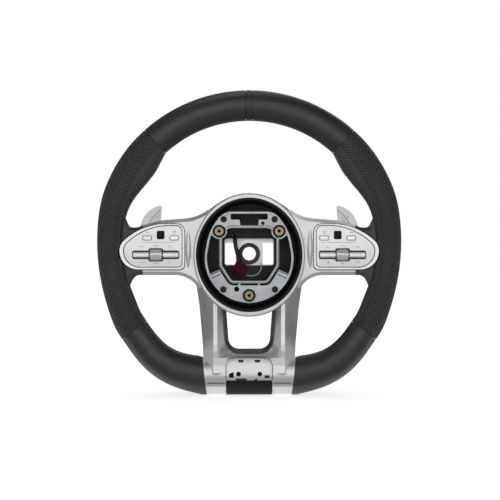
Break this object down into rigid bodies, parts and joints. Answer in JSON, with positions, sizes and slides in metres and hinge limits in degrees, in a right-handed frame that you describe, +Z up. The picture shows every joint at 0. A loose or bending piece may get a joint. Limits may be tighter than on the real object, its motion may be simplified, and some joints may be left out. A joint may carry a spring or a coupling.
{
  "type": "car steering wheel",
  "caption": "Flat-bottomed leather car steering wheel without its airbag: silver spokes, thumb switches and shift paddles, open hub with a splined column bore.",
  "frame": {"origin": "on the column axis, inside the plain bore of the hub", "axes": "+Z up with the wheel straight ahead, +X to the driver's right, +Y from the driver to the column"},
  "size_m": [0.37, 0.0839, 0.3702],
  "materials": {
    "smooth_leather": "fine grain",
    "marker_leather": "fine grain",
    "perforated_leather": "perforated",
    "foam": "moulded foam",
    "cast_metal": "as cast",
    "dark_steel": "dark coated",
    "satin_silver": "satin",
    "bright_frame": "bright satin",
    "switch_silver": "silver paint",
    "gloss_black": "gloss",
    "black_plastic": "fine texture",
    "brass": "turned",
    "black_rubber": "matt",
    "dark_red_plastic": "moulded",
    "light_wire": "matt"
  },
  "bodies": {
    "wheel": {"left_top_wrap": "smooth_leather", "right_top_wrap": "smooth_leather", "left_lower_wrap": "smooth_leather", "right_lower_wrap": "smooth_leather", "top_marker": "marker_leather", "left_grip_wrap": "perforated_leather", "right_grip_wrap": "perforated_leather", "rim_foam": "foam", "armature": "cast_metal", "side_arms": "cast_metal", "lower_arms": "cast_metal", "rim_core": "cast_metal", "airbag_carrier": "cast_metal", "hub_insert": "dark_steel", "carrier_screws": "dark_steel", "cover_screws": "dark_steel", "paddle_pins": "dark_steel", "spoke_bezel": "satin_silver", "lower_spokes": "satin_silver", "badge_plate": "satin_silver", "left_switch_frame": "bright_frame", "right_switch_frame": "bright_frame", "left_switch_panel": "switch_silver", "right_switch_panel": "switch_silver", "hub_shroud": "black_plastic", "rear_cover": "black_plastic", "bottom_pad": "black_plastic", "lower_back_cover": "black_plastic", "left_switch_housing": "black_plastic", "right_switch_housing": "black_plastic", "latch_bushes": "brass", "bush_rings": "black_rubber", "connector_lead": "black_rubber", "hub_connector": "dark_red_plastic", "horn_wire": "light_wire"},
    "left_inner_key": {"left_inner_key": "switch_silver"},
    "left_outer_key": {"left_outer_key": "switch_silver"},
    "left_touch_pad": {"left_touch_pad": "gloss_black"},
    "left_thumb_roller": {"left_thumb_roller": "switch_silver"},
    "left_inner_rocker": {"left_inner_rocker": "switch_silver"},
    "left_outer_rocker": {"left_outer_rocker": "switch_silver"},
    "left_paddle": {"left_paddle": "satin_silver"},
    "right_inner_key": {"right_inner_key": "switch_silver"},
    "right_outer_key": {"right_outer_key": "switch_silver"},
    "right_touch_pad": {"right_touch_pad": "gloss_black"},
    "right_thumb_roller": {"right_thumb_roller": "switch_silver"},
    "right_inner_rocker": {"right_inner_rocker": "switch_silver"},
    "right_outer_rocker": {"right_outer_rocker": "switch_silver"},
    "right_paddle": {"right_paddle": "satin_silver"}
  },
  "joints": [
    {"name": "left_inner_key_press", "type": "slide", "parent": "wheel", "child": "left_inner_key", "axis": [0, 1, 0], "range_m": [0, 0.0008], "stiffness_N_per_m": 1500, "springref_m": -0.0004},
    {"name": "left_outer_key_press", "type": "slide", "parent": "wheel", "child": "left_outer_key", "axis": [0, 1, 0], "range_m": [0, 0.0008], "stiffness_N_per_m": 1500, "springref_m": -0.0004},
    {"name": "left_touch_pad_press", "type": "slide", "parent": "wheel", "child": "left_touch_pad", "axis": [0, 1, 0], "range_m": [0, 0.0005], "stiffness_N_per_m": 1500, "springref_m": -0.0004},
    {"name": "left_roller_spin", "type": "hinge", "parent": "wheel", "child": "left_thumb_roller", "pos_m": [-0.1134, -0.0512, -0.0013], "axis": [1, 0, 0], "continuous": true},
    {"name": "left_inner_rocker_tilt", "type": "hinge", "parent": "wheel", "child": "left_inner_rocker", "pos_m": [-0.0954, -0.047, -0.0013], "axis": [1, 0, 0], "range_deg": [-5, 5], "stiffness_Nm_per_rad": 0.2},
    {"name": "left_outer_rocker_tilt", "type": "hinge", "parent": "wheel", "child": "left_outer_rocker", "pos_m": [-0.1314, -0.047, -0.0013], "axis": [1, 0, 0], "range_deg": [-5, 5], "stiffness_Nm_per_rad": 0.2},
    {"name": "left_paddle_pull", "type": "hinge", "parent": "wheel", "child": "left_paddle", "pos_m": [-0.082, -0.014, 0], "axis": [0, 0, 1], "range_deg": [0, 5], "stiffness_Nm_per_rad": 3, "springref_deg": -1.72},
    {"name": "right_inner_key_press", "type": "slide", "parent": "wheel", "child": "right_inner_key", "axis": [0, 1, 0], "range_m": [0, 0.0008], "stiffness_N_per_m": 1500, "springref_m": -0.0004},
    {"name": "right_outer_key_press", "type": "slide", "parent": "wheel", "child": "right_outer_key", "axis": [0, 1, 0], "range_m": [0, 0.0008], "stiffness_N_per_m": 1500, "springref_m": -0.0004},
    {"name": "right_touch_pad_press", "type": "slide", "parent": "wheel", "child": "right_touch_pad", "axis": [0, 1, 0], "range_m": [0, 0.0005], "stiffness_N_per_m": 1500, "springref_m": -0.0004},
    {"name": "right_roller_spin", "type": "hinge", "parent": "wheel", "child": "right_thumb_roller", "pos_m": [0.1134, -0.0512, -0.0013], "axis": [1, 0, 0], "continuous": true},
    {"name": "right_inner_rocker_tilt", "type": "hinge", "parent": "wheel", "child": "right_inner_rocker", "pos_m": [0.0954, -0.047, -0.0013], "axis": [1, 0, 0], "range_deg": [-5, 5], "stiffness_Nm_per_rad": 0.2},
    {"name": "right_outer_rocker_tilt", "type": "hinge", "parent": "wheel", "child": "right_outer_rocker", "pos_m": [0.1314, -0.047, -0.0013], "axis": [1, 0, 0], "range_deg": [-5, 5], "stiffness_Nm_per_rad": 0.2},
    {"name": "right_paddle_pull", "type": "hinge", "parent": "wheel", "child": "right_paddle", "pos_m": [0.082, -0.014, 0], "axis": [0, 0, -1], "range_deg": [0, 5], "stiffness_Nm_per_rad": 3, "springref_deg": -1.72}
  ]
}
